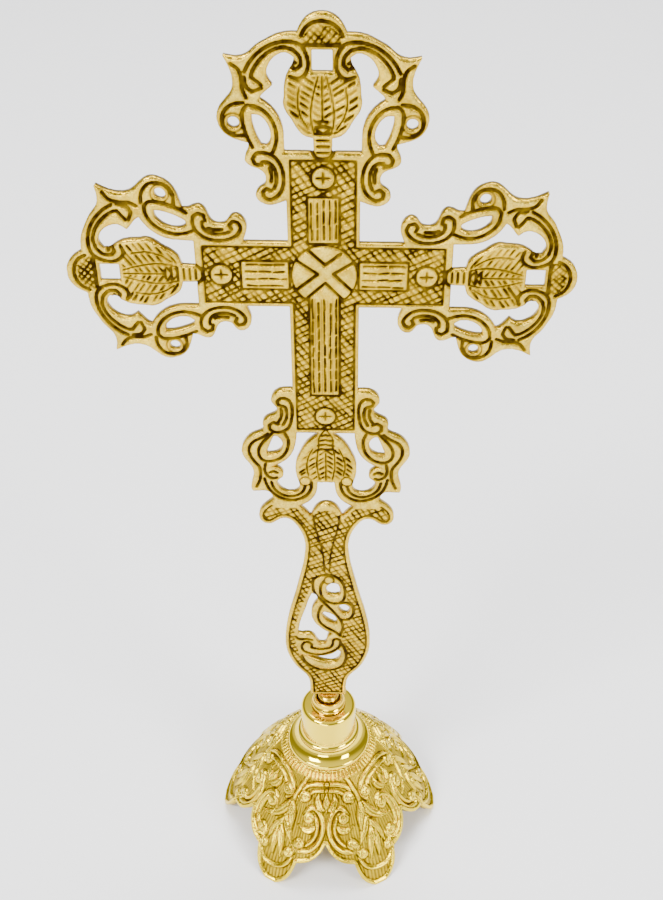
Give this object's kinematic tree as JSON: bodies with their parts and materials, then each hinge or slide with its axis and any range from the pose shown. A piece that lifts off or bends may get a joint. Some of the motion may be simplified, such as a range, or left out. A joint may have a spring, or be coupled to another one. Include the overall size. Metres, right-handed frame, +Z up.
{
  "type": "altar cross",
  "caption": "Pierced cast brass altar cross with scrolled arm ends and handle, standing on a round pin in a turned socket on a six-lobed domed base.",
  "frame": {"origin": "on the floor under the middle of the base", "axes": "+Z up along the pin, -Y out of the face of the cross, +X towards the arm on the viewer's right"},
  "size_m": [0.1272, 0.0696, 0.2775],
  "materials": {
    "antique_brass": "cast relief, satin yellow brass with dark brown patina in the grooves",
    "bright_cast_brass": "cast relief, bright yellow brass, lightly darkened background",
    "polished_brass": "turned and mirror polished",
    "zinc_steel": "dull zinc plating"
  },
  "bodies": {
    "stand": {"base_dome": "bright_cast_brass", "skirt_ring": "polished_brass", "socket": "polished_brass", "clamp_stud": "zinc_steel", "plain_washer": "zinc_steel", "spring_washer": "zinc_steel", "hex_nut": "zinc_steel"},
    "ferrule": {"ferrule": "polished_brass"},
    "cross": {"cross": "antique_brass", "cross_pin": "antique_brass"}
  },
  "joints": [
    {"name": "cross_turn", "type": "hinge", "parent": "stand", "child": "ferrule", "pos_m": [0, 0, 0.053], "axis": [0, 0, 1], "continuous": true},
    {"name": "cross_lift", "type": "slide", "parent": "ferrule", "child": "cross", "axis": [0, 0, 1], "range_m": [0, 0.02]}
  ]
}
